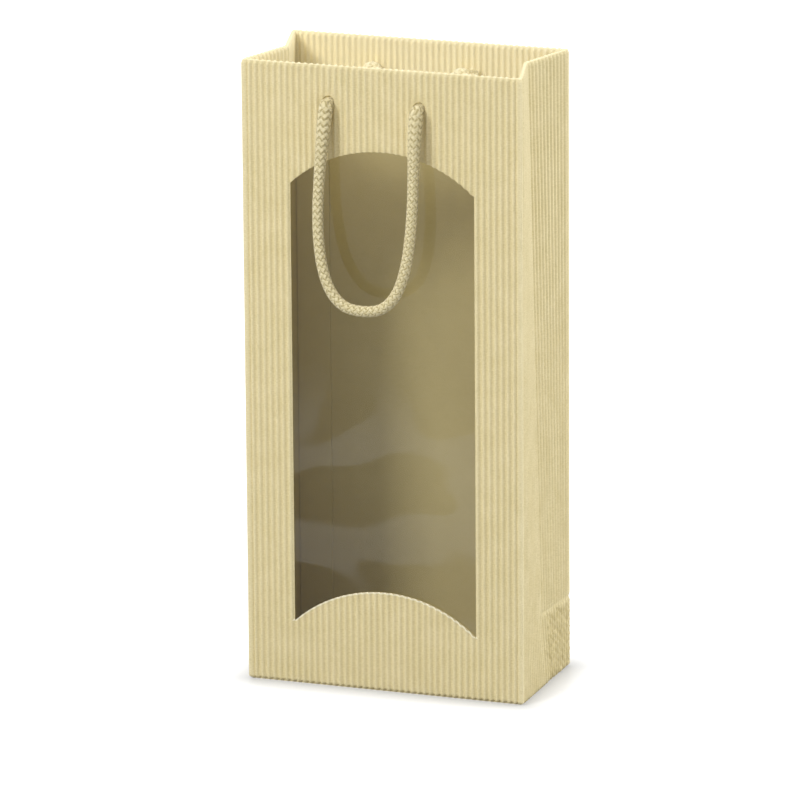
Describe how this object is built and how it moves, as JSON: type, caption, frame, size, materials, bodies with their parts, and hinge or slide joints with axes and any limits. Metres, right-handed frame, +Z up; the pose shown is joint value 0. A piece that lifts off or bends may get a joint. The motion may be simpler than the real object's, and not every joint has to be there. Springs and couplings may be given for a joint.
{
  "type": "bottle bag",
  "caption": "Open-flute board carrier bag for bottles, with an arched film window, gusseted sides, a block bottom and knotted cord handles that swing.",
  "frame": {"origin": "middle of the bag's footprint, on the surface it stands on", "axes": "+Z up to the open mouth, +X to the right of someone facing the window, -Y out of the window"},
  "size_m": [0.17, 0.1306, 0.37],
  "materials": {
    "liner_paper": "matt machine-finished liner",
    "fluted_paper": "matt dyed fluting paper",
    "greyboard": "matt",
    "clear_film": "clear gloss",
    "cotton_cord": "round braid"
  },
  "bodies": {
    "bag": {"front_panel": "liner_paper", "front_flutes": "fluted_paper", "front_cuff": "fluted_paper", "back_panel": "liner_paper", "back_flutes": "fluted_paper", "back_cuff": "fluted_paper", "left_gusset_front_panel": "liner_paper", "left_gusset_front_flutes": "fluted_paper", "left_gusset_front_cuff": "fluted_paper", "left_gusset_rear_panel": "liner_paper", "left_gusset_rear_flutes": "fluted_paper", "left_gusset_rear_cuff": "fluted_paper", "right_gusset_front_panel": "liner_paper", "right_gusset_front_flutes": "fluted_paper", "right_gusset_front_cuff": "fluted_paper", "right_gusset_rear_panel": "liner_paper", "right_gusset_rear_flutes": "fluted_paper", "right_gusset_rear_cuff": "fluted_paper", "seam_flap": "liner_paper", "bottom_flap_front": "fluted_paper", "bottom_flap_back": "fluted_paper", "bottom_flap_left": "fluted_paper", "bottom_flap_right": "fluted_paper", "base_insert": "greyboard", "window_film": "clear_film", "front_cord_end_left": "cotton_cord", "front_cord_end_right": "cotton_cord", "front_knot_left": "cotton_cord", "front_knot_right": "cotton_cord", "back_cord_end_left": "cotton_cord", "back_cord_end_right": "cotton_cord", "back_knot_left": "cotton_cord", "back_knot_right": "cotton_cord"},
    "front_handle": {"front_handle_loop": "cotton_cord"},
    "back_handle": {"back_handle_loop": "cotton_cord"}
  },
  "joints": [
    {"name": "front_handle_swing", "type": "hinge", "parent": "bag", "child": "front_handle", "pos_m": [-0.0045, -0.04605, 0.34755], "axis": [-1, 0, 0], "range_deg": [-7, 170]},
    {"name": "back_handle_swing", "type": "hinge", "parent": "bag", "child": "back_handle", "pos_m": [-0.0045, 0.04605, 0.34755], "axis": [1, 0, 0], "range_deg": [-7, 170]}
  ]
}
